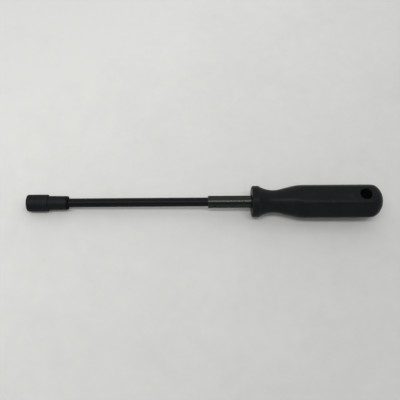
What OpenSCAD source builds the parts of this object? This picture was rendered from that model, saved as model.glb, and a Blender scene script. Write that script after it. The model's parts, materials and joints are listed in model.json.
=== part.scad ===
// Nut driver with a flexible shaft: hexagon socket, wound shaft in a plastic sheath, and six-sided handle.
// The tool lies along X. The origin is the centre of the socket's mouth, +X runs towards the handle,
// and +Z is up, along the hanging hole. Sizes are in millimetres.

/* [Socket] */
// Width across the flats of the hexagon recess
hex_af = 8; // [6:0.5:9]
// Depth of the hexagon recess
hex_depth = 11; // [8:0.5:12]
// Depth of the round relief behind the hexagon
relief_depth = 2; // [1:0.5:3]
// Web left between the relief and the shaft's bore
web = 4; // [2:0.5:5]
// Outside diameter of the head
head_d = 13.4; // [12.8:0.1:18]
// Length of the head
head_len = 16.7; // [15:0.1:24]
// Rounding of the head's front edge
head_edge = 1.4; // [0.4:0.1:1.6]
// Bevel on the head's rear edge and round the neck's mouth
socket_bevel = 0.8; // [0.2:0.1:0.8]
// Diameter of the neck where it leaves the head
neck_d = 11.2; // [10.6:0.1:12]
// Diameter of the neck at its mouth
neck_mouth_d = 10.8; // [10:0.1:11]
// Length of the neck
neck_len = 15.7; // [15:0.1:24]

/* [Flexible shaft] */
// Length of the sheath that shows
flex_len = 110; // [80:0.1:160]
// Outside diameter of the sheath
sheath_d = 7.1; // [6.6:0.1:7.4]
// Wall of the sheath
sheath_wall = 0.5; // [0.3:0.05:0.7]
// Depth to which the sheath's ends enter the neck and the ferrule
sheath_seat = 2; // [1:0.5:2.5]
// Diameter of the straight wire in the middle
core_d = 1.6; // [1:0.1:2]
// Outside diameter of the inner winding
inner_d = 3.6; // [3:0.1:3.8]
// Diameter of the outer winding's wire
wire_d = 1.1; // [0.8:0.05:1.2]
// Bend of the whole shaft, to each side, in each of its two planes
bend_deg = 90; // [30:5:100]

/* [Ferrule] */
// Outside diameter of the ferrule
ferrule_d = 9.6; // [9:0.1:10.4]
// Length of the ferrule that shows
ferrule_len = 34.3; // [20:0.1:50]
// Length of the ferrule's tail inside the handle
tail_len = 58; // [36:1:60]
// Length of shaft held in the ferrule
ferrule_grip = 30; // [16:1:40]
// Width over the two swaged ears
ear_w = 14; // [12:0.5:15]
// Thickness of the ears
ear_t = 3.2; // [2:0.2:4]
// Length of the ears along the tail
ear_len = 12; // [8:1:16]
// Bevel on the ferrule's ends
ferrule_bevel = 0.5; // [0.2:0.1:0.7]

/* [Crimps] */
// Radius of the punch that makes the dimples
punch_r = 2.2; // [1.6:0.1:4]
// Depth of a dimple
dimple_depth = 0.6; // [0.2:0.05:0.7]
// Distance from the neck's mouth to its first pair of dimples
neck_crimp = 5.8; // [5:0.1:8]
// Distance from the ferrule's mouth to its pair of dimples
ferrule_crimp = 5.3; // [4:0.1:8]
// Step from the neck's first pair of dimples to its second
crimp_step = 5.1; // [4:0.1:6]
// Turn of the first pair round the axis, up from the front
crimp_turn = 14; // [0:1:90]
// Turn from the neck's first pair to its second
crimp_stagger = 117; // [60:1:120]

/* [Handle] */
// Length of the handle
handle_len = 103.3; // [96:0.1:130]
// Diameter of the guard
guard_d = 24.9; // [22:0.1:26]
// Rounding of the guard's front edge
guard_edge = 1.4; // [0.5:0.1:2]
// Rounding of the guard's rear edge
guard_lip = 1.5; // [0.5:0.1:2]
// Radius of the hollow between the guard and the waist
flare_r = 22; // [18:1:26]
// Diameter of the waist
waist_d = 17.9; // [17:0.1:19]
// Distance from the guard's front to the waist
waist_at = 17.2; // [16:0.1:22]
// Radius of the hollow behind the waist
swell_r = 18; // [10:1:26]
// Slope of the taper up to the grip
taper_deg = 13.8; // [12:0.1:16]
// Radius of the shoulder where the taper meets the grip
shoulder_r = 20; // [10:1:26]
// Width across the flats of the grip
grip_af = 25.8; // [25:0.1:27]
// Diameter over the grip's rounded ridges
grip_d = 27.9; // [27.6:0.1:29]
// Radius of the domed end, over the grip's own radius
dome_extra = 1.8; // [0.5:0.1:5]
// Rounding between the domed end and the grip
dome_edge = 12; // [8:0.5:13]
// Diameter of the hanging hole
hang_d = 9.5; // [6:0.1:10]
// Distance from the hanging hole's centre to the handle's end
hang_from_end = 15.6; // [13:0.1:22]
// Bevel at the hanging hole's mouths
hang_bevel = 0.5; // [0.2:0.1:0.7]
// Depth of the relief round the ferrule in the guard's front
collar_depth = 1.2; // [0.5:0.1:2]
// Width of that relief
collar_w = 0.9; // [0.4:0.1:1.5]

/* [Hidden] */
$fn = 64;

// Clearances: pieces held in one another, windings in the sheath, sheath in its seats, ends in blind bores
held_gap = 0.02;
wound_gap = 0.05;
seat_gap = 0.15;
end_gap = 0.3;
turn_space = 0.06;
hinge_space = 0.1;

// The recess: depth of its bevelled mouth, that mouth's reach past the corners, the relief's step inwards
lead_in = 0.6;
lead_rim = 0.1;
relief_step = 0.2;

// How far a cutting solid runs past the surface that it opens
cut = 1;

// Bending sections: the shaft bends between groups of turns, one hinge in each section
hinges = 16;
groups = hinges + 1;
hinges_per_plane = hinges / 2;
hinge_deg = bend_deg / hinges_per_plane;
section_len = flex_len / hinges;

// Stations along X
neck_end = head_len + neck_len;
ferrule_x = neck_end + flex_len;
guard_x = ferrule_x + ferrule_len;
tool_end = guard_x + handle_len;
tail_end = guard_x + tail_len;
socket_bore_x = hex_depth + relief_depth + web;
ferrule_bore_x = ferrule_x + ferrule_grip;
hang_x = tool_end - hang_from_end;

// Radii from the axis
sheath_r = sheath_d / 2;
sheath_bore_r = sheath_r - sheath_wall;
winding_r = sheath_bore_r - wound_gap;
shaft_bore_r = winding_r + held_gap;
seat_r = sheath_r + seat_gap;
hex_corner_r = hex_af / 2 / cos(30);
lead_r = hex_corner_r + lead_rim;
relief_r = hex_af / 2 - relief_step;
guard_r = guard_d / 2;
waist_r = waist_d / 2;
grip_r = grip_d / 2;
dome_r = grip_r + dome_extra;

// Neighbouring groups of turns stand this far apart, so that they clear each other at the full bend
group_gap = 2 * winding_r * tan(hinge_deg / 2) + hinge_space;

function hinge_x(i) = ferrule_x - (i - 0.5) * section_len;
function group_front(k) = k == groups ? socket_bore_x + end_gap : hinge_x(k) + group_gap / 2;
function group_rear(k) = k == 1 ? ferrule_bore_x - end_gap : hinge_x(k - 1) - group_gap / 2;
function two_digits(k) = k < 10 ? str("0", k) : str(k);
function group_name(k) = str("winding_", two_digits(k));

// Points of an arc about a centre [radius, x], from one angle to another
function arc(centre, r, from, to, steps = 8) =
    [for (i = [0:steps]) let (a = from + (to - from) * i / steps) centre + r * [cos(a), sin(a)]];

GROUP_NAMES = [for (k = [1:groups]) group_name(k)];

// A solid turned about the X axis from an outline of [radius, x] points
module turned() {
    rotate([0, 90, 0]) rotate_extrude() children();
}

// A round bar or bore from one station to another
module bar(from, to, r) {
    turned() translate([0, from]) square([r, to - from]);
}

// A plain tube from one station to another
module tube(from, to, outer_r, inner_r) {
    turned() translate([inner_r, from]) square([outer_r - inner_r, to - from]);
}

// A hexagonal bar along X with flats facing up and down
module hexagon_bar(from, to, corner_r) {
    translate([from, 0, 0])
        rotate([0, 90, 0])
            rotate([0, 0, 30])
                cylinder(h = to - from, r = corner_r, $fn = 6);
}

// Opposite punch marks at each of these stations, each pair turned on from the last
module crimps(stations, surface_r) {
    for (pair = [0:len(stations) - 1], side = [0, 180])
        rotate([-(crimp_turn + pair * crimp_stagger + side), 0, 0])
            translate([stations[pair], -(surface_r + punch_r - dimple_depth), 0])
                sphere(r = punch_r);
}

// The two swaged ears of the tail, or the pocket that the moulding leaves round them
module ears(grow = 0) {
    slope = (ear_w - ferrule_d) / 2;
    middle = guard_x + tail_len - ear_len / 2 - 2 * slope;
    half_w = ear_w / 2 + grow;
    half_len = ear_len / 2 + grow;
    translate([middle, 0, 0])
        linear_extrude(ear_t + 2 * grow, center = true)
            polygon([
                [-half_len - slope, 0], [-half_len, half_w], [half_len, half_w],
                [half_len + slope, 0], [half_len, -half_w], [-half_len, -half_w]
            ]);
}

// The handle's outline: rounded guard, hollow waist, taper, straight grip and domed end
module handle_outline() {
    waist_x = guard_x + waist_at;
    flare_centre = [waist_r + flare_r, waist_x];
    lip_drop = flare_centre[0] - guard_r + guard_lip;
    lip_run = sqrt(pow(flare_r + guard_lip, 2) - pow(lip_drop, 2));
    lip_centre = [guard_r - guard_lip, waist_x - lip_run];
    lip_end = atan2(lip_run, lip_drop);
    swell_centre = [waist_r + swell_r, waist_x];
    shoulder_foot = grip_r - shoulder_r * (1 - cos(taper_deg));
    taper_foot = waist_r + swell_r * (1 - cos(taper_deg));
    taper_run = (shoulder_foot - taper_foot) / tan(taper_deg);
    shoulder_x = waist_x + (swell_r + shoulder_r) * sin(taper_deg) + taper_run;
    dome_x = tool_end - dome_r;
    edge_out = grip_r - dome_edge;
    edge_run = sqrt(pow(dome_r - dome_edge, 2) - pow(edge_out, 2));
    edge_turn = atan2(edge_run, edge_out);
    polygon(concat(
        [[0, guard_x]],
        arc([guard_r - guard_edge, guard_x + guard_edge], guard_edge, -90, 0),
        arc(lip_centre, guard_lip, 0, lip_end),
        arc(flare_centre, flare_r, 180 + lip_end, 180),
        arc(swell_centre, swell_r, 180, 180 - taper_deg, 4),
        arc([grip_r - shoulder_r, shoulder_x], shoulder_r, -taper_deg, 0, 4),
        arc([edge_out, dome_x + edge_run], dome_edge, 0, edge_turn, 12),
        arc([0, dome_x], dome_r, edge_turn, 90, 8)
    ));
}

// The hanging hole with its bevelled mouths on the upper and lower flats
module hanging_hole() {
    translate([hang_x, 0, 0]) {
        cylinder(h = grip_af + 2 * cut, d = hang_d, center = true);
        for (side = [0, 180])
            rotate([side, 0, 0])
                translate([0, 0, grip_af / 2 - hang_bevel])
                    cylinder(h = hang_bevel + cut, d1 = hang_d, d2 = hang_d + 2 * (hang_bevel + cut));
    }
}

module handle() {
    color("#202123")
        difference() {
            turned() handle_outline();
            for (side = [0:5])
                rotate([60 * side, 0, 0])
                    translate([guard_x + waist_at, -grip_r, grip_af / 2])
                        cube([handle_len, grip_d, grip_r]);
            hanging_hole();
            bar(guard_x - cut, guard_x + collar_depth, ferrule_d / 2 + collar_w);
            bar(guard_x, tail_end + held_gap, ferrule_d / 2 + held_gap);
            ears(held_gap);
        }
}

module ferrule() {
    r = ferrule_d / 2;
    color("#2d2f2b")
        difference() {
            union() {
                turned()
                    polygon([
                        [0, ferrule_x], [r - ferrule_bevel, ferrule_x], [r, ferrule_x + ferrule_bevel],
                        [r, tail_end - ferrule_bevel], [r - ferrule_bevel, tail_end], [0, tail_end]
                    ]);
                ears();
            }
            bar(ferrule_x - cut, ferrule_x + sheath_seat, seat_r);
            bar(ferrule_x, ferrule_bore_x, shaft_bore_r);
            crimps([ferrule_x + ferrule_crimp], r);
        }
}

module sheath() {
    color("#1c1d20")
        tube(neck_end - sheath_seat + end_gap, ferrule_x + sheath_seat - end_gap, sheath_r, sheath_bore_r);
}

module inner_winding() {
    color("#8a8d90")
        tube(socket_bore_x + end_gap, ferrule_bore_x - end_gap, inner_d / 2, core_d / 2 + wound_gap);
}

module core_wire() {
    color("#a0a3a6") bar(socket_bore_x + end_gap, ferrule_bore_x - end_gap, core_d / 2);
}

// One group of turns of the outer winding: beads of wire on a common sleeve
module winding(k) {
    from = group_front(k);
    len = group_rear(k) - from;
    turns = floor(len / (wire_d + turn_space));
    pitch = len / turns;
    bead_r = winding_r - wire_d / 2;
    bore_r = inner_d / 2 + wound_gap;
    color("#6f7275")
        turned() {
            translate([bore_r, from]) square([bead_r - bore_r, len]);
            for (turn = [0:turns - 1])
                translate([bead_r, from + (turn + 0.5) * pitch]) circle(d = wire_d);
        }
}

// The socket's outline: rounded front edge, straight head, bevelled step and slightly tapered neck
module socket_outline() {
    head_r = head_d / 2;
    mouth_r = neck_mouth_d / 2;
    front_edge = min(head_edge, head_r - lead_r);
    polygon(concat(
        [[0, 0]],
        arc([head_r - front_edge, front_edge], front_edge, -90, 0, 6),
        [
            [head_r, head_len - socket_bevel], [head_r - socket_bevel, head_len],
            [neck_d / 2, head_len], [mouth_r, neck_end - socket_bevel],
            [mouth_r - socket_bevel, neck_end], [0, neck_end]
        ]
    ));
}

module socket() {
    crimp_x = neck_end - neck_crimp;
    color("#26272a")
        difference() {
            turned() socket_outline();
            hexagon_bar(-cut, hex_depth, hex_corner_r);
            turned() polygon([[0, -cut], [lead_r + cut, -cut], [lead_r - lead_in, lead_in], [0, lead_in]]);
            bar(hex_depth - cut, hex_depth + relief_depth, relief_r);
            bar(socket_bore_x, neck_end, shaft_bore_r);
            bar(neck_end - sheath_seat, neck_end + cut, seat_r);
            crimps([crimp_x, crimp_x - crimp_step], neck_d / 2);
        }
}

handle();
ferrule();
sheath();
inner_winding();
core_wire();
socket();
for (k = [1:groups])
    winding(k);
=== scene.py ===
import json
import math

import bpy
import numpy as np
from mathutils import Matrix, Vector

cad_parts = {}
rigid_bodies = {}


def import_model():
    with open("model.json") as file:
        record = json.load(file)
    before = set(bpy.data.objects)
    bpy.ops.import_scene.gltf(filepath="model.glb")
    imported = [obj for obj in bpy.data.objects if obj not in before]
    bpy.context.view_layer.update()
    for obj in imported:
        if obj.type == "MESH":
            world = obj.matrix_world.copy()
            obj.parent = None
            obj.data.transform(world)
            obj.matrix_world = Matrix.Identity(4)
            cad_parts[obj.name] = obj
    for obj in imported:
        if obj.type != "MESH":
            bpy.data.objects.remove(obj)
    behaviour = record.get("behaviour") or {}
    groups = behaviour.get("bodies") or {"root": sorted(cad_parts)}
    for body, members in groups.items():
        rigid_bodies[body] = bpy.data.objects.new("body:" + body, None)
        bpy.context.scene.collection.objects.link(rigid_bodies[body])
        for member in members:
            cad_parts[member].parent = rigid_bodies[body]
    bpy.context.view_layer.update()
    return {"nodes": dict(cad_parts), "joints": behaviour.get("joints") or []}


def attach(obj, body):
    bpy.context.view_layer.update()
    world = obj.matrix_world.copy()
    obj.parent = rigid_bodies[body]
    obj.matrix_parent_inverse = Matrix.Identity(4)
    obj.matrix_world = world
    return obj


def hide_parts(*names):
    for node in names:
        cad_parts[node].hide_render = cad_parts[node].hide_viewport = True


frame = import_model()

# Camera: in front of the tool and high above it, looking down at 64 degrees from the horizon.
# It is turned a fraction of a degree, so that the handle's end lies a little higher than the socket.
VIEW_ELEVATION, VIEW_TURN = math.radians(64.0), math.radians(-0.40)
VIEW_DISTANCE, VIEW_LENS = 0.439, 50.0
AIM_X, AIM_ABOVE_AXIS = 0.13614, 0.00157

forward = Vector((0, math.cos(VIEW_ELEVATION), -math.sin(VIEW_ELEVATION)))
level, upright = Vector((1, 0, 0)), Vector((0, math.sin(VIEW_ELEVATION), math.cos(VIEW_ELEVATION)))
right = level * math.cos(VIEW_TURN) + upright * math.sin(VIEW_TURN)
above = upright * math.cos(VIEW_TURN) - level * math.sin(VIEW_TURN)
camera = bpy.data.objects.new("camera", bpy.data.cameras.new("camera"))
camera.data.lens = VIEW_LENS
stands_at = level * AIM_X + upright * AIM_ABOVE_AXIS - forward * VIEW_DISTANCE
camera.matrix_world = Matrix.Translation(stands_at) @ Matrix((right, above, -forward)).transposed().to_4x4()
bpy.context.scene.collection.objects.link(camera)
bpy.context.scene.camera = camera

# Floor: a pale, slightly smudged work surface. Its colour darkens towards the right and the front, which is
# painted light falloff standing in for the light fading across the floor. The straight tool lies on the rim
# of its guard and on its socket, so the surface slopes a little against the tool's axis.
FLOOR_REACH, FLOOR_CELLS = 1.6, 32
REST_FRONT, REST_REAR = (0.0014, -0.0067), (0.1800, -0.01245)
FLOOR_BRIGHT, FLOOR_DIM = (0.84, 0.838, 0.824, 1), (0.605, 0.602, 0.592, 1)
# The painted light falloff runs along this axis, from its start value to its end value.
PAINTED_FALLOFF_AXIS, PAINTED_FALLOFF_FROM, PAINTED_FALLOFF_TO = (1.0, -1.15, 0.0), -0.13, 0.40
CLOUD_LOW, CLOUD_HIGH = 0.32, 0.68


def place(tree, kind, values=(), **settings):
    """Adds a node of a kind. Settings are its properties; values set its inputs or link them to a socket."""
    node = tree.nodes.new(kind)
    for key, value in settings.items():
        setattr(node, key, value)
    for key, value in dict(values).items():
        if isinstance(value, bpy.types.NodeSocket):
            tree.links.new(value, node.inputs[key])
        else:
            node.inputs[key].default_value = value
    return node


def new_material(name, constants):
    """A material whose shader holds these constants in its named sockets, and the piece's coordinates."""
    material = bpy.data.materials.new(name)
    material.use_nodes = True
    tree = material.node_tree
    shader = tree.nodes["Principled BSDF"]
    for socket, value in constants.items():
        shader.inputs[socket].default_value = value
    return material, tree, shader, place(tree, "ShaderNodeTexCoord").outputs["Object"]


def mixed(tree, share, first, second):
    """The colour that goes from the first to the second as the share goes from 0 to 1."""
    return place(tree, "ShaderNodeMix", {0: share, 6: first, 7: second}, data_type="RGBA").outputs[2]


def new_group(name, inputs, output):
    """A shader node group with these named inputs and one named output value."""
    group = bpy.data.node_groups.new(name, "ShaderNodeTree")
    for label, kind, value in inputs:
        socket = group.interface.new_socket(label, in_out="INPUT", socket_type=kind)
        if value is not None:
            socket.default_value = value
    group.interface.new_socket(output, in_out="OUTPUT", socket_type="NodeSocketFloat")
    return group, group.nodes.new("NodeGroupInput").outputs, group.nodes.new("NodeGroupOutput").inputs


def placed_group(tree, group, values):
    """The output of a node that holds the group, with its inputs set or linked."""
    return place(tree, "ShaderNodeGroup", values, node_tree=group).outputs[0]


uneven, given, result = new_group("uneven_finish", [
    ("Vector", "NodeSocketVector", None), ("Scale", "NodeSocketFloat", 100.0),
    ("Least", "NodeSocketFloat", 0.0), ("Most", "NodeSocketFloat", 1.0)], "Value")
cloud = place(uneven, "ShaderNodeTexNoise", {
    "Vector": given["Vector"], "Scale": given["Scale"], "Detail": 5.0, "Roughness": 0.6})
spread = place(uneven, "ShaderNodeMapRange", {
    0: cloud.outputs[0], 1: CLOUD_LOW, 2: CLOUD_HIGH, 3: given["Least"], 4: given["Most"]})
uneven.links.new(spread.outputs[0], result["Value"])

floor_material, tree, shader, own = new_material("pale_work_surface", {
    "Roughness": 0.6, "Specular IOR Level": 0.25})
distance = place(tree, "ShaderNodeVectorMath", {0: own, 1: PAINTED_FALLOFF_AXIS},
                 operation="DOT_PRODUCT").outputs["Value"]
# Painted light falloff: darker towards the right and the front. The smudges and specks added to it are real
# marks.
painted_falloff = place(tree, "ShaderNodeMapRange", {0: distance, 1: PAINTED_FALLOFF_FROM, 2: PAINTED_FALLOFF_TO}).outputs[0]
smudge = placed_group(tree, uneven, {"Vector": own, "Scale": 22.0, "Least": -0.06, "Most": 0.06})
speck = placed_group(tree, uneven, {"Vector": own, "Scale": 95.0, "Least": -0.05, "Most": 0.05})
marks = place(tree, "ShaderNodeMath", {0: smudge, 1: speck}, operation="ADD").outputs[0]
falloff_and_marks = place(tree, "ShaderNodeMath", {0: painted_falloff, 1: marks}, operation="ADD", use_clamp=True).outputs[0]
tree.links.new(mixed(tree, falloff_and_marks, FLOOR_BRIGHT, FLOOR_DIM), shader.inputs["Base Color"])


def grid_faces(rows, columns, closed_rows=False, closed_columns=True):
    """Four-cornered faces of a grid of points, by rows. A closed side joins its last line to its first."""
    i = np.arange(rows if closed_rows else rows - 1)[:, None]
    j = np.arange(columns if closed_columns else columns - 1)[None, :]
    here, there, beside = i * columns, (i + 1) % rows * columns, (j + 1) % columns
    return np.stack([here + j, here + beside, there + beside, there + j], -1).reshape(-1, 4)


def new_piece(name, points, quads, tris, material, sharp_deg=30.0):
    """An object at the origin from points in metres and faces, smooth but for edges over sharp_deg."""
    mesh = bpy.data.meshes.new(name)
    mesh.from_pydata(points.reshape(-1, 3).tolist(), [], quads.tolist() + tris.tolist())
    mesh.polygons.foreach_set("use_smooth", np.ones(len(mesh.polygons), bool))
    mesh.set_sharp_from_angle(angle=math.radians(sharp_deg))
    mesh.materials.append(material)
    piece = bpy.data.objects.new(name, mesh)
    bpy.context.scene.collection.objects.link(piece)
    return piece


NO_TRIS = np.zeros((0, 3), int)
rest_slope = (REST_REAR[1] - REST_FRONT[1]) / (REST_REAR[0] - REST_FRONT[0])
along, across = np.meshgrid(np.linspace(-FLOOR_REACH, FLOOR_REACH, FLOOR_CELLS + 1) + AIM_X,
                            np.linspace(-FLOOR_REACH, FLOOR_REACH, FLOOR_CELLS + 1))
height = REST_FRONT[1] + rest_slope * (along - REST_FRONT[0])
floor_faces = grid_faces(FLOOR_CELLS + 1, FLOOR_CELLS + 1, closed_columns=False)
floor = new_piece("floor", np.stack([along, across, height], -1), floor_faces, NO_TRIS, floor_material)

# Light: a long narrow lamp above the tool and a little in front of it, which throws the crisp shadow and
# draws the bright line on the ferrule, in a grey room that is lighter above and behind the tool.
bpy.context.scene.view_settings.view_transform = "Standard"
ROOM_GREY, ROOM_DIM, ROOM_BRIGHT = (0.97, 0.975, 0.97, 1), 0.20, 0.79
BRIGHT_TOWARD, BRIGHT_FROM, BRIGHT_TO = (0.0, 0.5, 0.866), 0.0, 0.9
WALL_GLOW, WALL_TOP = 0.35, 0.45
LAMP_AT, LAMP_AIM = Vector((0.12, -0.20, 0.98)), Vector((0.12, 0.0, 0.0))
LAMP_LENGTH, LAMP_DEPTH, LAMP_WATTS, LAMP_COLOUR = 1.0, 0.13, 3.75, (1.0, 0.99, 0.97)

room = bpy.data.worlds.new("grey_room")
room.use_nodes = True
tree, sky = room.node_tree, room.node_tree.nodes["Background"]
sky.inputs["Color"].default_value = ROOM_GREY
outward = place(tree, "ShaderNodeTexCoord").outputs["Generated"]
toward = place(tree, "ShaderNodeVectorMath", {0: outward, 1: BRIGHT_TOWARD},
               operation="DOT_PRODUCT").outputs["Value"]
ceiling = place(tree, "ShaderNodeMapRange", {
    0: toward, 1: BRIGHT_FROM, 2: BRIGHT_TO, 3: ROOM_DIM, 4: ROOM_BRIGHT},
    interpolation_type="SMOOTHSTEP").outputs[0]
upward = place(tree, "ShaderNodeSeparateXYZ", {0: outward}).outputs["Z"]
walls = place(tree, "ShaderNodeMapRange", {0: upward, 1: 0.0, 2: WALL_TOP, 3: WALL_GLOW, 4: 0.0}).outputs[0]
glow = place(tree, "ShaderNodeMath", {0: ceiling, 1: walls}, operation="ADD").outputs[0]
tree.links.new(glow, sky.inputs["Strength"])
bpy.context.scene.world = room

lamp = bpy.data.lights.new("line_lamp", "AREA")
lamp.shape, lamp.size, lamp.size_y = "RECTANGLE", LAMP_LENGTH, LAMP_DEPTH
lamp.energy, lamp.color = LAMP_WATTS, LAMP_COLOUR
holder = bpy.data.objects.new("line_lamp", lamp)
holder.location = LAMP_AT
holder.rotation_euler = (LAMP_AIM - LAMP_AT).to_track_quat("-Z", "Y").to_euler()
bpy.context.scene.collection.objects.link(holder)

# Core wire and inner winding: a straight spring-steel wire with finer wire wound tightly round it.
# They lie in the middle of the shaft and bend with it, so each of its links carries its own length of them.
# The tool's sizes and stations are in millimetres from here on, and its meshes are in metres.
MM = 0.001
FERRULE_MOUTH, SECTION, BENDS = 142.4, 6.875, 16
CORE_FRONT, CORE_REAR = 17.3, 172.1
CORE_RADIUS, CORE_BALL, CORE_CUP = 0.8, 90, 75
WOUND_RADIUS, WOUND_BORE, WOUND_PITCH, WOUND_DIP, WOUND_SHARP = 1.8, 0.85, 0.95, 0.3, 50.0
CORE_COLUMNS, ROWS_PER_MM, FEWEST_ROWS, BALL_ROWS, TURN_ROOM = 24, 6, 8, 8, 0.2
BALL_EASE, SEAM, LAST_ROW, CUP_FIT = 0.012, 0.005, 0.04, 0.7
WIRE_STEEL, WIRE_OILED = (0.42, 0.43, 0.44, 1), (0.20, 0.19, 0.17, 1)


def turned(outline, columns, radius_at=None, closed=False):
    """The shell made by carrying rows (x, radius), in millimetres, once round the X axis in equal steps of
    angle, which starts at +Y and goes up towards +Z. radius_at may change the radius by station and angle.
    A closed outline ends where it starts; an open one starts and ends on the axis, where its rings close in
    fans. Faces point outwards."""
    x, r = np.asarray(outline, float).T
    angle = np.arange(columns) * 2 * np.pi / columns
    x, r, angle = np.broadcast_arrays(x[:, None], r[:, None], angle[None, :])
    r = r if radius_at is None else radius_at(x, r, angle)
    points = np.stack([x, r * np.cos(angle), r * np.sin(angle)], -1) * MM
    if closed:
        points, tris = points.reshape(-1, 3), NO_TRIS
        quads = grid_faces(len(outline), columns, closed_rows=True)
    else:
        rings = len(outline) - 2
        quads, first = grid_faces(rings, columns), np.arange(columns)
        step, last, poles = (first + 1) % columns, (rings - 1) * columns, np.full(columns, rings * columns)
        tris = np.concatenate([np.stack([poles, step, first], -1),
                               np.stack([last + first, last + step, poles + 1], -1)])
        points = np.concatenate([points[1:-1].reshape(-1, 3), points[:1, 0], points[-1:, 0]])
    halves = np.concatenate([quads[:, [0, 1, 2]], quads[:, [0, 2, 3]], tris])
    a, b, c = points[halves[:, 0]], points[halves[:, 1]], points[halves[:, 2]]
    if np.einsum("ij,ij->", a, np.cross(b, c)) < 0:
        quads, tris = quads[:, ::-1], tris[:, ::-1]
    return points, quads, tris


def straight(start, end, count):
    """Evenly spaced rows (x, radius) from one to the other, without the last."""
    return np.linspace(start, end, count, endpoint=False)


def ring_wall(front, rear, outer, inner, rows):
    """The closed outline of a tube: from front to rear along the outer wall and back along the inner one."""
    return np.concatenate([
        straight((front, outer), (rear, outer), rows), straight((rear, outer), (rear, inner), 1),
        straight((rear, inner), (front, inner), rows), straight((front, inner), (front, outer), 1)])


def link_span(link, front_end, rear_end):
    """Front and rear of the length on one link of the shaft: from hinge to hinge, or to the shaft's end."""
    rear = rear_end if link == 0 else FERRULE_MOUTH - (link - 0.5) * SECTION
    front = front_end if link == BENDS else FERRULE_MOUTH - (link + 0.5) * SECTION
    return front, rear


def ball_zone(centre, radius, widest, rows):
    """Rows (x, radius) forward over a ball, from its widest ring, at the centre, to an angle in degrees."""
    angle = np.radians(np.linspace(0, widest, rows))
    return np.stack([centre - radius * np.sin(angle), radius * np.cos(angle)], -1)


def ball_nose(centre, radius, widest, rows):
    """The end of a rod that seats in the next: its side to just short of the centre, then an eased ball."""
    side = [(centre + LAST_ROW, radius), (centre + SEAM, radius)]
    return np.concatenate([side, ball_zone(centre, radius - BALL_EASE, widest, rows)[1:]])


def cup_heel(centre, radius, widest, rows):
    """The cup for that ball: it starts at the rod's side and clears the ball more towards its bottom."""
    x, r = ball_zone(centre, radius, widest, rows).T
    return np.stack([x, radius - CUP_FIT * (radius - r)], -1)


def wound_surface(x, r, angle):
    """Turns of wire: the outer radius dips between rounded turns that climb a pitch a round. Plain bore."""
    ridge = np.abs(np.sin(np.pi * (x / WOUND_PITCH - angle / (2 * np.pi))))
    return np.where(r > WOUND_BORE, r - WOUND_DIP * (1 - np.sqrt(ridge)), r)


wire_material, tree, shader, own = new_material("oiled_wire", {"Metallic": 1.0})
oil = placed_group(tree, uneven, {"Vector": own, "Scale": 260.0, "Least": 0.0, "Most": 0.8})
tree.links.new(mixed(tree, oil, WIRE_STEEL, WIRE_OILED), shader.inputs["Base Color"])
tree.links.new(placed_group(tree, uneven, {"Vector": own, "Scale": 900.0, "Least": 0.24, "Most": 0.46}),
               shader.inputs["Roughness"])

links = [frame["joints"][0]["parent"]] + [joint["child"] for joint in frame["joints"]]
for link, body in enumerate(links):
    front, rear = link_span(link, CORE_FRONT, CORE_REAR)
    nose, heel = [(front, CORE_RADIUS), (front, 0.0)], [(rear, CORE_RADIUS), (rear, 0.0)]
    if link < BENDS:
        nose = ball_nose(front, CORE_RADIUS, CORE_BALL, BALL_ROWS)
    if link > 0:
        heel = cup_heel(rear - TURN_ROOM, CORE_RADIUS, CORE_CUP, BALL_ROWS)
        heel = np.concatenate([heel, [(heel[-1, 0], 0.0)]])
    outline = np.concatenate([nose[::-1], heel])
    core = new_piece(f"core_wire_{link:02d}", *turned(outline, CORE_COLUMNS), wire_material)
    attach(core, body)
    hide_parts("core_wire")

    front += TURN_ROOM if link < BENDS else 0.0
    rear -= TURN_ROOM if link > 0 else 0.0
    rows = max(FEWEST_ROWS, round((rear - front) * ROWS_PER_MM))
    outline = ring_wall(front, rear, WOUND_RADIUS, WOUND_BORE, rows)
    shell = turned(outline, CORE_COLUMNS, wound_surface, closed=True)
    wound = new_piece(f"inner_winding_{link:02d}", *shell, wire_material, WOUND_SHARP)
    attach(wound, body)
    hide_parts("inner_winding")

# Outer winding: heavier wire wound the other way, which carries the torque. Each group of turns moves as
# one, so the solids of the model stay as they are and only take the look of oiled wire.
for group in range(1, BENDS + 2):
    node = frame["nodes"][f"winding_{group:02d}"]
    node.data.materials.clear()
    node.data.materials.append(wire_material)

# Sheath: a thin sleeve of black plastic, extruded over the winding and smooth, with a satin sheen.
# Its ends run under the mouths of the neck and the ferrule. It bends with the shaft: the length on each
# link ends in a ball that turns in the cup of the next one, so the sleeve stays whole.
SHEATH_RADIUS, SHEATH_BORE = 3.55, 3.05
SHEATH_FRONT, SHEATH_REAR = 30.7, 144.1
SHEATH_COLUMNS, CUP_ROWS, BALL_BORE, BALL_REACH, CUP_REACH = 96, 10, 3.3, 14, 26
SHEATH_BLACK, SHEATH_SCUFFED = (0.0080, 0.0086, 0.0108, 1), (0.0098, 0.0104, 0.0128, 1)

sheath_material, tree, shader, own = new_material("sheath_plastic", {"Specular IOR Level": 0.065})
drawn = place(tree, "ShaderNodeMapping", {"Vector": own, "Scale": (0.06, 1.0, 1.0)}).outputs[0]
streak = placed_group(tree, uneven, {"Vector": drawn, "Scale": 1500.0, "Least": 0.0, "Most": 1.0})
scuff = placed_group(tree, uneven, {"Vector": own, "Scale": 120.0, "Least": 0.0, "Most": 0.6})
tree.links.new(mixed(tree, scuff, SHEATH_BLACK, SHEATH_SCUFFED), shader.inputs["Base Color"])
tree.links.new(placed_group(tree, uneven, {"Vector": drawn, "Scale": 700.0, "Least": 0.26, "Most": 0.32}),
               shader.inputs["Roughness"])
relief = place(tree, "ShaderNodeBump", {"Strength": 0.12, "Distance": 0.00004, "Height": streak})
tree.links.new(relief.outputs[0], shader.inputs["Normal"])

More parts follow.
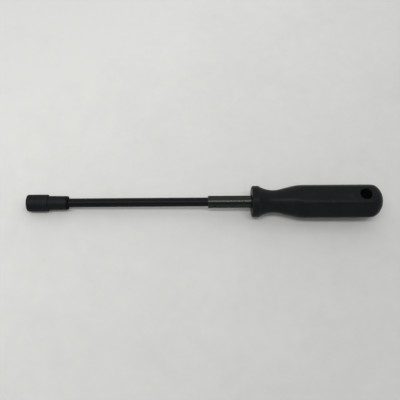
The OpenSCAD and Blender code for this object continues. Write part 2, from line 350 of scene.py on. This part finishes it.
for link, body in enumerate(links):
    front, rear = link_span(link, SHEATH_FRONT, SHEATH_REAR)
    nose, heel = [(front, SHEATH_RADIUS), (front, SHEATH_BORE)], [(rear, SHEATH_BORE), (rear, SHEATH_RADIUS)]
    if link < BENDS:
        outer = ball_nose(front, SHEATH_RADIUS, BALL_REACH, BALL_ROWS)
        inner = ball_zone(front, BALL_BORE, BALL_REACH, BALL_ROWS // 2)[::-1]
        nose = np.concatenate([outer, inner, [(front, SHEATH_BORE)]])
    if link > 0:
        heel = cup_heel(rear, SHEATH_RADIUS, CUP_REACH, CUP_ROWS)[::-1]
        heel = np.concatenate([[(heel[0, 0], SHEATH_BORE)], heel])
    outline = np.concatenate([nose, heel])
    sleeve = new_piece(f"sheath_{link:02d}", *turned(outline, SHEATH_COLUMNS, closed=True), sheath_material)
    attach(sleeve, body)
    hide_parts("sheath")

# Ferrule: a blackened steel bar, bored for the shaft and crimped on it with a pair of punch marks.
# Its tail, with two swaged ears, is moulded into the handle.
FERRULE_RADIUS, FERRULE_BEVEL = 4.8, 0.5
TAIL_END, FERRULE_BORE_END, SHAFT_BORE, SEAT_RADIUS, SEAT_DEPTH = 234.7, 172.4, 3.02, 3.70, 2.0
PUNCH_RADIUS, PUNCH_DEPTH, PUNCH_SOFT, WALL_BAND, DENT_REACH = 2.2, 0.6, 0.12, 0.7, 1.6
FERRULE_PUNCHES = [(147.7, 166), (147.7, 346)]
MOUTH_ROUND, FINE_STEP, FINE_END, LEAST_STEP, FAR_OFF = 0.2, 0.1, 152.0, 0.01, 1000.0
EAR_HALF_WIDTH, EAR_HALF_THICK, EAR_HALF_LENGTH, EAR_SLOPE = 7.0, 1.6, 6.0, 2.2
FERRULE_COLUMNS = 256
FERRULE_DARK, FERRULE_GREY = (0.033, 0.036, 0.0335, 1), (0.038, 0.041, 0.0385, 1)
# The near-black mixed into the punch marks, and on the socket also into its neck's mouth, is painted shade
# with some dirt.
FERRULE_BARE, SHADE_AND_GRIME = (0.20, 0.20, 0.19, 1), (0.010, 0.010, 0.010, 1)
FERRULE_SHEEN = (0.4, 0.4, 0.4, 1)


def soft_least(first, second, width):
    """The lesser of two values, rounded where they differ by less than the width; where they are equal it is
    a quarter of the width lower."""
    near = np.maximum(width - np.abs(first - second), 0) / width
    return np.minimum(first, second) - near ** 2 * width / 4


def punched(x, r, angle, wall_radius, punches):
    """The wall's radius, lowered where a ball was pressed in at each punch's station and angle. Along a ray
    from the axis the ball's near side is at C cos a - sqrt(C^2 cos^2 a - C^2 - dx^2 + p^2), for a ball of
    radius p with its centre C from the axis. A soft minimum rounds the edge. Rows off the wall stay."""
    centre = wall_radius + PUNCH_RADIUS - PUNCH_DEPTH
    lowered = r
    for station, degrees in punches:
        toward = centre * np.cos(angle - math.radians(degrees))
        inside = toward ** 2 - centre ** 2 - (x - station) ** 2 + PUNCH_RADIUS ** 2
        ball = np.where((inside > 0) & (toward > 0), toward - np.sqrt(np.maximum(inside, 0)), FAR_OFF)
        lowered = soft_least(lowered, ball, PUNCH_SOFT)
    return np.where(r > wall_radius - WALL_BAND, lowered, r)


def arc(centre, radius, start_deg, end_deg, count):
    """Rows (x, radius) of an arc about such a point; 0 degrees is out from the axis and 90 towards +X."""
    a = np.radians(np.linspace(start_deg, end_deg, count))
    return np.stack([centre[0] + radius * np.sin(a), centre[1] + radius * np.cos(a)], -1)


def mark_edges(piece):
    """Stores how sharply the surface turns at each vertex, in 1/mm, as the attribute edge: the mean, over the
    mesh edges e that meet there, of -2 n.e / e.e for the normal n. That is 1/R on a ball of radius R and
    half of it on a bar."""
    mesh = piece.data
    points, normals = np.empty((2, len(mesh.vertices), 3), np.float32)
    mesh.vertices.foreach_get("co", points.ravel())
    mesh.vertex_normals.foreach_get("vector", normals.ravel())
    ends = np.empty((len(mesh.edges), 2), np.int32)
    mesh.edges.foreach_get("vertices", ends.ravel())
    start, end = np.concatenate([ends, ends[:, ::-1]]).T
    step = (points[end] - points[start]) / MM
    squared = np.maximum(np.einsum("ij,ij->i", step, step), LEAST_STEP ** 2)
    turn = -2 * np.einsum("ij,ij->i", normals[start], step) / squared
    mean = np.bincount(start, turn, len(points)) / np.maximum(np.bincount(start, minlength=len(points)), 1)
    mesh.attributes.new("edge", "FLOAT", "POINT").data.foreach_set("value", mean.astype(np.float32))


def mark_dents(piece, punches):
    """Stores how near each vertex is to the middle of a punch mark as the attribute dent: 1 in the middle,
    falling with the distance from it along the wall to 0 at DENT_REACH."""
    mesh = piece.data
    points = np.empty((len(mesh.vertices), 3), np.float32)
    mesh.vertices.foreach_get("co", points.ravel())
    radius = np.hypot(points[:, 1], points[:, 2])
    nearest = np.full(len(points), FAR_OFF)
    for station, degrees in punches:
        off = np.arctan2(points[:, 2], points[:, 1]) - math.radians(degrees)
        round_off = radius * np.abs((off + np.pi) % (2 * np.pi) - np.pi)
        nearest = np.minimum(nearest, np.hypot(points[:, 0] - station * MM, round_off) / MM)
    dent = np.where(radius > SEAT_RADIUS * MM, np.clip(1 - nearest / DENT_REACH, 0, 1), 0)
    mesh.attributes.new("dent", "FLOAT", "POINT").data.foreach_set("value", dent.astype(np.float32))


def stored(tree, name):
    """The value that the mesh stores under this name."""
    return place(tree, "ShaderNodeAttribute", attribute_name=name).outputs["Fac"]


worn, given, result = new_group("edge_wear", [
    ("Edge", "NodeSocketFloat", 0.0), ("Vector", "NodeSocketVector", None),
    ("Scale", "NodeSocketFloat", 300.0), ("Start", "NodeSocketFloat", 0.3),
    ("Full", "NodeSocketFloat", 1.5), ("Amount", "NodeSocketFloat", 1.0)], "Value")
sharp = place(worn, "ShaderNodeMapRange", {
    0: given["Edge"], 1: given["Start"], 2: given["Full"], 3: 0.0, 4: given["Amount"]}).outputs[0]
broken = placed_group(worn, uneven, {"Vector": given["Vector"], "Scale": given["Scale"]})
kept = place(worn, "ShaderNodeMath", {0: sharp, 1: broken}, operation="MULTIPLY").outputs[0]
worn.links.new(kept, result["Value"])

steel_material, tree, shader, own = new_material("blackened_steel", {
    "Metallic": 0.85, "Specular IOR Level": 0.05, "Specular Tint": FERRULE_SHEEN})
edge = stored(tree, "edge")
rings = place(tree, "ShaderNodeMapping", {"Vector": own, "Scale": (1.0, 0.03, 0.03)}).outputs[0]
turning = placed_group(tree, uneven, {"Vector": rings, "Scale": 5200.0, "Least": 0.0, "Most": 1.0})
mottle = placed_group(tree, uneven, {"Vector": own, "Scale": 170.0, "Least": 0.0, "Most": 1.0})
tint = mixed(tree, mottle, FERRULE_DARK, FERRULE_GREY)
bare = placed_group(tree, worn, {
    "Edge": edge, "Vector": own, "Scale": 900.0, "Start": 0.4, "Full": 2.0, "Amount": 0.5})
dent = stored(tree, "dent")
unshaded_tone = mixed(tree, bare, tint, FERRULE_BARE)
# The punch marks darken towards their middle: painted shade in the dents, with some dirt.
tree.links.new(mixed(tree, dent, unshaded_tone, SHADE_AND_GRIME), shader.inputs["Base Color"])
tree.links.new(placed_group(tree, uneven, {"Vector": own, "Scale": 420.0, "Least": 0.15, "Most": 0.18}),
               shader.inputs["Roughness"])
relief = place(tree, "ShaderNodeBump", {"Strength": 0.015, "Distance": 0.00003, "Height": turning})
tree.links.new(relief.outputs[0], shader.inputs["Normal"])

mouth, tail, seat = FERRULE_MOUTH, TAIL_END, FERRULE_MOUTH + SEAT_DEPTH
outline = np.concatenate([
    [(FERRULE_BORE_END, 0.0)], straight((FERRULE_BORE_END, SHAFT_BORE), (seat, SHAFT_BORE), 12),
    [(seat, SHAFT_BORE)], straight((seat, SEAT_RADIUS), (mouth + MOUTH_ROUND, SEAT_RADIUS), 4),
    arc((mouth + MOUTH_ROUND, SEAT_RADIUS + MOUTH_ROUND), MOUTH_ROUND, 180, 270, 5),
    arc((mouth + FERRULE_BEVEL, FERRULE_RADIUS - FERRULE_BEVEL), FERRULE_BEVEL, -90, 0, 7),
    straight((mouth + FERRULE_BEVEL + FINE_STEP, FERRULE_RADIUS), (FINE_END, FERRULE_RADIUS), 84),
    straight((FINE_END, FERRULE_RADIUS), (tail - FERRULE_BEVEL, FERRULE_RADIUS), 30),
    [(tail - FERRULE_BEVEL, FERRULE_RADIUS), (tail, FERRULE_RADIUS - FERRULE_BEVEL), (tail, 0.0)]])
points, quads, tris = turned(outline, FERRULE_COLUMNS,
                             lambda x, r, a: punched(x, r, a, FERRULE_RADIUS, FERRULE_PUNCHES))
ear_middle = tail - EAR_HALF_LENGTH - 2 * EAR_SLOPE
ear_reach = EAR_HALF_LENGTH + EAR_SLOPE
ear_plan = np.array([
    (-ear_reach, 0), (-EAR_HALF_LENGTH, -EAR_HALF_WIDTH), (EAR_HALF_LENGTH, -EAR_HALF_WIDTH),
    (ear_reach, 0), (EAR_HALF_LENGTH, EAR_HALF_WIDTH), (-EAR_HALF_LENGTH, EAR_HALF_WIDTH)])
corners = len(ear_plan)
ear_points = np.concatenate([
    np.column_stack([ear_plan + (ear_middle, 0), np.full(corners, z)])
    for z in (-EAR_HALF_THICK, EAR_HALF_THICK)]) * MM
side = np.arange(corners)
beside = (side + 1) % corners
ear_quads = np.concatenate([
    np.array([(3, 2, 1, 0), (0, 5, 4, 3), (6, 7, 8, 9), (9, 10, 11, 6)]),
    np.stack([side, beside, beside + corners, side + corners], -1)])
quads = np.concatenate([quads, ear_quads + len(points)])
points = np.concatenate([points, ear_points])
ferrule = new_piece("ferrule", points, quads, tris, steel_material)
mark_edges(ferrule)
mark_dents(ferrule, FERRULE_PUNCHES)
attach(ferrule, "handle_end")
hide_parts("ferrule")

# Handle: one moulding of black plastic round the ferrule's tail. Round guard, hollow waist and taper,
# then six flats with rounded ridges between them, a domed end and a hanging hole from flat to flat.
GUARD_FACE, HANDLE_END = 176.7, 280.0
GUARD_RADIUS, GUARD_EDGE, GUARD_LIP, FLARE_RADIUS = 12.45, 1.4, 1.5, 22.0
WAIST_RADIUS, WAIST_X, SWELL_RADIUS = 8.95, 193.9, 18.0
TAPER, SHOULDER_RADIUS = math.radians(13.8), 20.0
GRIP_RADIUS, FLAT_DISTANCE, RIDGE_BLEND = 13.95, 12.9, 1.05
DOME_RADIUS, DOME_EDGE = 15.75, 12.0
COLLAR_DEPTH, COLLAR_RADIUS, COLLAR_ROUND, FACE_START = 1.2, 5.7, 0.25, 0.6
TAIL_BORE, TAIL_GAP = 4.82, 0.02
HOLE_X, HOLE_RADIUS, HOLE_RIM, HOLE_RIM_TURN = 264.4, 4.75, 0.5, 78.0
DRILL_CONE, DRILL_END = 3.0, 2.0
HANDLE_COLUMNS, HOLE_COLUMNS, HANDLE_SHARP = 288, 96, 30.0
PLASTIC_BLACK, PLASTIC_RUBBED = (0.0092, 0.0106, 0.0118, 1), (0.0125, 0.0141, 0.0155, 1)
PLASTIC_WORN = (0.038, 0.038, 0.038, 1)
THUMB_X, THUMB_HALF, THUMB_FADE, THUMB_POLISH = 206.0, 5.0, 15.0, 0.09
PATCH_FROM, PATCH_FULL = 0.52, 0.66


def hexagon(angle, half_width):
    """The distance from the axis to six flats that face up, down and every 60 degrees: the half width over
    the cosine of the angle from the nearest flat's middle."""
    off_middle = (angle - np.pi / 2 + np.pi / 6) % (np.pi / 3) - np.pi / 6
    return half_width / np.cos(off_middle)


def six_flats(x, r, angle):
    """The turned radius, cut by the grip's flats behind the waist, with rounded edges between them."""
    return np.where(x > WAIST_X, soft_least(r, hexagon(angle, FLAT_DISTANCE), RIDGE_BLEND), r)


lip_drop = WAIST_RADIUS + FLARE_RADIUS - GUARD_RADIUS + GUARD_LIP
lip_run = math.sqrt((FLARE_RADIUS + GUARD_LIP) ** 2 - lip_drop ** 2)
lip_turn = math.degrees(math.atan2(lip_run, lip_drop))
taper_deg = math.degrees(TAPER)
taper_foot = WAIST_RADIUS + SWELL_RADIUS * (1 - math.cos(TAPER))
shoulder_foot = GRIP_RADIUS - SHOULDER_RADIUS * (1 - math.cos(TAPER))
taper_start = WAIST_X + SWELL_RADIUS * math.sin(TAPER)
taper_end = taper_start + (shoulder_foot - taper_foot) / math.tan(TAPER)
shoulder_x = taper_end + SHOULDER_RADIUS * math.sin(TAPER)
dome_x, edge_out = HANDLE_END - DOME_RADIUS, GRIP_RADIUS - DOME_EDGE
edge_run = math.sqrt((DOME_RADIUS - DOME_EDGE) ** 2 - edge_out ** 2)
edge_turn = math.degrees(math.atan2(edge_run, edge_out))
collar, tail_stop = GUARD_FACE + COLLAR_DEPTH, TAIL_END + TAIL_GAP
outline = np.concatenate([
    [(tail_stop, 0.0)], straight((tail_stop, TAIL_BORE), (collar, TAIL_BORE), 6), [(collar, TAIL_BORE)],
    straight((collar, COLLAR_RADIUS), (GUARD_FACE + COLLAR_ROUND, COLLAR_RADIUS), 4),
    arc((GUARD_FACE + COLLAR_ROUND, COLLAR_RADIUS + COLLAR_ROUND), COLLAR_ROUND, 180, 270, 5),
    straight((GUARD_FACE, COLLAR_RADIUS + FACE_START), (GUARD_FACE, GUARD_RADIUS - GUARD_EDGE), 8),
    arc((GUARD_FACE + GUARD_EDGE, GUARD_RADIUS - GUARD_EDGE), GUARD_EDGE, -90, 0, 12)[:-1],
    straight((GUARD_FACE + GUARD_EDGE, GUARD_RADIUS), (WAIST_X - lip_run, GUARD_RADIUS), 6),
    arc((WAIST_X - lip_run, GUARD_RADIUS - GUARD_LIP), GUARD_LIP, 0, lip_turn, 9)[:-1],
    arc((WAIST_X, WAIST_RADIUS + FLARE_RADIUS), FLARE_RADIUS, 180 + lip_turn, 180, 30)[:-1],
    arc((WAIST_X, WAIST_RADIUS + SWELL_RADIUS), SWELL_RADIUS, 180, 180 - taper_deg, 12)[:-1],
    straight((taper_start, taper_foot), (taper_end, shoulder_foot), 52),
    arc((shoulder_x, GRIP_RADIUS - SHOULDER_RADIUS), SHOULDER_RADIUS, -taper_deg, 0, 18)[:-1],
    straight((shoulder_x, GRIP_RADIUS), (dome_x + edge_run, GRIP_RADIUS), 70),
    arc((dome_x + edge_run, edge_out), DOME_EDGE, 0, edge_turn, 40)[:-1],
    arc((dome_x, 0.0), DOME_RADIUS, edge_turn, 90, 26)])
outline[-1, 1] = 0.0

scratched, given, result = new_group("fine_scratches", [
    ("Vector", "NodeSocketVector", None), ("Scale", "NodeSocketFloat", 300.0),
    ("Width", "NodeSocketFloat", 0.01), ("Amount", "NodeSocketFloat", 0.5)], "Value")
drawn = place(scratched, "ShaderNodeMapping", {
    "Vector": given["Vector"], "Scale": (0.12, 1.0, 1.0)}).outputs[0]
swirl = place(scratched, "ShaderNodeTexNoise", {
    "Vector": drawn, "Scale": given["Scale"], "Detail": 1.0}).outputs[0]
off_line = place(scratched, "ShaderNodeMath", {0: swirl, 1: 0.5}, operation="SUBTRACT").outputs[0]
off_line = place(scratched, "ShaderNodeMath", {0: off_line}, operation="ABSOLUTE").outputs[0]
line = place(scratched, "ShaderNodeMapRange", {
    0: off_line, 1: 0.0, 2: given["Width"], 3: given["Amount"], 4: 0.0}).outputs[0]
patch = place(scratched, "ShaderNodeTexNoise", {
    "Vector": given["Vector"], "Scale": 75.0, "Detail": 2.0}).outputs[0]
seen = place(scratched, "ShaderNodeMapRange", {0: patch, 1: PATCH_FROM, 2: PATCH_FULL}).outputs[0]
kept = place(scratched, "ShaderNodeMath", {0: line, 1: seen}, operation="MULTIPLY").outputs[0]
scratched.links.new(kept, result["Value"])

handle_material, tree, shader, own = new_material("handle_plastic", {"Specular IOR Level": 0.05})
edge = stored(tree, "edge")
grain = placed_group(tree, uneven, {"Vector": own, "Scale": 2200.0, "Least": 0.0, "Most": 1.0})
rubbed = placed_group(tree, uneven, {"Vector": own, "Scale": 60.0, "Least": -0.35, "Most": 0.35})
shade = place(tree, "ShaderNodeMath", {0: grain, 1: rubbed}, operation="ADD", use_clamp=True).outputs[0]
tint = mixed(tree, shade, PLASTIC_BLACK, PLASTIC_RUBBED)
scuffed = placed_group(tree, worn, {
    "Edge": edge, "Vector": own, "Scale": 500.0, "Start": 0.15, "Full": 0.9, "Amount": 0.6})
slant = place(tree, "ShaderNodeMapping", {"Vector": own, "Rotation": (0.3, 0.2, 0.5)}).outputs[0]
hairlines = placed_group(tree, scratched, {"Vector": slant, "Scale": 260.0, "Width": 0.012, "Amount": 0.5})
marked = place(tree, "ShaderNodeMath", {0: scuffed, 1: hairlines}, operation="MAXIMUM").outputs[0]
tree.links.new(mixed(tree, marked, tint, PLASTIC_WORN), shader.inputs["Base Color"])
station = place(tree, "ShaderNodeSeparateXYZ", {0: own}).outputs[0]
off_thumb = place(tree, "ShaderNodeMath", {0: station, 1: THUMB_X * MM}, operation="SUBTRACT").outputs[0]
off_thumb = place(tree, "ShaderNodeMath", {0: off_thumb}, operation="ABSOLUTE").outputs[0]
polish = place(tree, "ShaderNodeMapRange", {
    0: off_thumb, 1: THUMB_HALF * MM, 2: THUMB_FADE * MM, 3: THUMB_POLISH, 4: 0.0},
    interpolation_type="SMOOTHSTEP").outputs[0]
satin = placed_group(tree, uneven, {"Vector": own, "Scale": 240.0, "Least": 0.30, "Most": 0.38})
smoothed = place(tree, "ShaderNodeMath", {0: satin, 1: polish}, operation="SUBTRACT").outputs[0]
tree.links.new(smoothed, shader.inputs["Roughness"])
relief = place(tree, "ShaderNodeBump", {"Strength": 0.3, "Distance": 0.00004, "Height": grain})
tree.links.new(relief.outputs[0], shader.inputs["Normal"])

handle = new_piece("handle", *turned(outline, HANDLE_COLUMNS, six_flats), handle_material)

rim_turn = math.radians(HOLE_RIM_TURN)
rim_start = FLAT_DISTANCE - HOLE_RIM * math.sin(rim_turn)
rim = arc((rim_start, HOLE_RADIUS + HOLE_RIM), HOLE_RIM, 180, 180 - HOLE_RIM_TURN, 8)
cone_x, cone_r = rim[-1] + DRILL_CONE * np.array((math.cos(rim_turn), math.sin(rim_turn)))
upper = np.concatenate([rim, [(cone_x, cone_r), (cone_x + DRILL_END, cone_r), (cone_x + DRILL_END, 0.0)]])
shank = straight((-rim_start, HOLE_RADIUS), (rim_start, HOLE_RADIUS), 24)[1:]
points, quads, tris = turned(np.concatenate([upper[::-1] * (-1, 1), shank, upper]), HOLE_COLUMNS)
points = points[:, [1, 2, 0]] + np.array((HOLE_X * MM, 0, 0))
drill = new_piece("drill", points, quads, tris, handle_material)
cut = handle.modifiers.new("hanging_hole", "BOOLEAN")
cut.operation, cut.solver, cut.object = "DIFFERENCE", "EXACT", drill
drilled = bpy.data.meshes.new_from_object(handle.evaluated_get(bpy.context.evaluated_depsgraph_get()))
handle.modifiers.clear()
handle.data = drilled
bpy.data.objects.remove(drill)
drilled.set_sharp_from_angle(angle=math.radians(HANDLE_SHARP))
mark_edges(handle)
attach(handle, "handle_end")
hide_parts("handle")

# Socket: one turned piece of black-oxide steel. The head has the hexagon recess with a bevelled mouth and a
# round relief behind it; the neck is bored for the shaft and crimped on it like the ferrule.
HEAD_RADIUS, HEAD_LENGTH, HEAD_EDGE, SOCKET_BEVEL = 6.7, 16.7, 1.4, 0.8
NECK_RADIUS, NECK_MOUTH_RADIUS, NECK_END = 5.6, 5.4, 32.4
STEP_ROUND, HEAD_ROW, NECK_ROW = 0.15, 0.8, 0.35
HEX_HALF, HEX_DEPTH, MOUTH_RADIUS, RELIEF_RADIUS, RELIEF_END, BORE_END = 4.0, 11.0, 4.719, 3.8, 13.0, 17.0
FLATS_END, CONE_START, RECESS_MARK = 1.0, 0.8, 100.0
NECK_PUNCHES, PUNCHED_FROM, PUNCHED_TO = [(26.6, 166), (26.6, 346), (21.5, 49), (21.5, 229)], 16.9, 31.8
SOCKET_COLUMNS = 288
OXIDE_BLACK, OXIDE_GREY = (0.0205, 0.0214, 0.0236, 1), (0.027, 0.028, 0.0305, 1)
OXIDE_WORN, OXIDE_SHEEN = (0.16, 0.155, 0.15, 1), (0.75, 0.75, 0.75, 1)
# A band darkened at the neck's rear end, where it meets the sheath: painted shade.
MOUTH_SHADE_FROM, MOUTH_SHADE_FULL, MOUTH_SHADE_MOST = 30.3, 31.2, 0.85


def socket_wall(x, r, angle):
    """Rows marked as the recess take the hexagon's radius or, where that is wider, the mouth's cone, which is
    one millimetre less per millimetre of depth. The neck takes the punch marks."""
    recess = np.maximum(hexagon(angle, HEX_HALF), MOUTH_RADIUS - x)
    neck = punched(x, r, angle, NECK_RADIUS, NECK_PUNCHES)
    on_neck = (x > PUNCHED_FROM) & (x < PUNCHED_TO)
    return np.where(r == RECESS_MARK, recess, np.where(on_neck, neck, r))


seat, head_end, neck_end = NECK_END - SEAT_DEPTH, HEAD_LENGTH - SOCKET_BEVEL, NECK_END - SOCKET_BEVEL
recess_stations = np.concatenate([np.linspace(HEX_DEPTH, FLATS_END, 11), np.linspace(CONE_START, 0.0, 9)])
outline = np.concatenate([
    [(RELIEF_END, 0.0)], straight((RELIEF_END, RELIEF_RADIUS), (HEX_DEPTH, RELIEF_RADIUS), 3),
    [(HEX_DEPTH, RELIEF_RADIUS)],
    np.column_stack([recess_stations, np.full(len(recess_stations), RECESS_MARK)]),
    arc((HEAD_EDGE, HEAD_RADIUS - HEAD_EDGE), HEAD_EDGE, -90, 0, 14),
    straight((HEAD_EDGE + HEAD_ROW, HEAD_RADIUS), (head_end - STEP_ROUND, HEAD_RADIUS), 12),
    arc((head_end, HEAD_RADIUS - SOCKET_BEVEL), SOCKET_BEVEL, 0, 90, 7),
    [(HEAD_LENGTH, NECK_RADIUS + STEP_ROUND)],
    arc((HEAD_LENGTH + STEP_ROUND, NECK_RADIUS + STEP_ROUND), STEP_ROUND, 270, 180, 4),
    straight((HEAD_LENGTH + NECK_ROW, NECK_RADIUS), (neck_end, NECK_MOUTH_RADIUS), 130),
    arc((neck_end, NECK_MOUTH_RADIUS - SOCKET_BEVEL), SOCKET_BEVEL, 0, 90, 7),
    arc((NECK_END - MOUTH_ROUND, SEAT_RADIUS + MOUTH_ROUND), MOUTH_ROUND, 90, 180, 5),
    straight((NECK_END - 2 * MOUTH_ROUND, SEAT_RADIUS), (seat, SEAT_RADIUS), 4),
    [(seat, SEAT_RADIUS)], straight((seat, SHAFT_BORE), (BORE_END, SHAFT_BORE), 10),
    [(BORE_END, SHAFT_BORE), (BORE_END, 0.0)]])

oxide_material, tree, shader, own = new_material("black_oxide_steel", {
    "Metallic": 1.0, "Specular Tint": OXIDE_SHEEN})
edge = stored(tree, "edge")
mottle = placed_group(tree, uneven, {"Vector": own, "Scale": 330.0, "Least": 0.0, "Most": 0.8})
tint = mixed(tree, mottle, OXIDE_BLACK, OXIDE_GREY)
bare = placed_group(tree, worn, {
    "Edge": edge, "Vector": own, "Scale": 700.0, "Start": 0.3, "Full": 1.6, "Amount": 0.4})
dent = stored(tree, "dent")
station = place(tree, "ShaderNodeSeparateXYZ", {0: own}).outputs[0]
# Painted shade: the neck darkens towards its rear mouth, and the punch marks darken with painted shade and
# some dirt.
painted_mouth_shade = place(tree, "ShaderNodeMapRange", {
    0: station, 1: MOUTH_SHADE_FROM * MM, 2: MOUTH_SHADE_FULL * MM, 3: 0.0, 4: MOUTH_SHADE_MOST}).outputs[0]
shade_and_grime_mask = place(tree, "ShaderNodeMath", {0: dent, 1: painted_mouth_shade}, operation="MAXIMUM").outputs[0]
unshaded_tone = mixed(tree, bare, tint, OXIDE_WORN)
tree.links.new(mixed(tree, shade_and_grime_mask, unshaded_tone, SHADE_AND_GRIME), shader.inputs["Base Color"])
tree.links.new(placed_group(tree, uneven, {"Vector": own, "Scale": 700.0, "Least": 0.54, "Most": 0.66}),
               shader.inputs["Roughness"])
rings = place(tree, "ShaderNodeMapping", {"Vector": own, "Scale": (1.0, 0.03, 0.03)}).outputs[0]
turning = placed_group(tree, uneven, {"Vector": rings, "Scale": 4200.0, "Least": 0.0, "Most": 1.0})
relief = place(tree, "ShaderNodeBump", {"Strength": 0.15, "Distance": 0.00003, "Height": turning})
tree.links.new(relief.outputs[0], shader.inputs["Normal"])

socket = new_piece("socket", *turned(outline, SOCKET_COLUMNS, socket_wall), oxide_material)
mark_edges(socket)
mark_dents(socket, NECK_PUNCHES)
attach(socket, "socket_end")
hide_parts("socket")
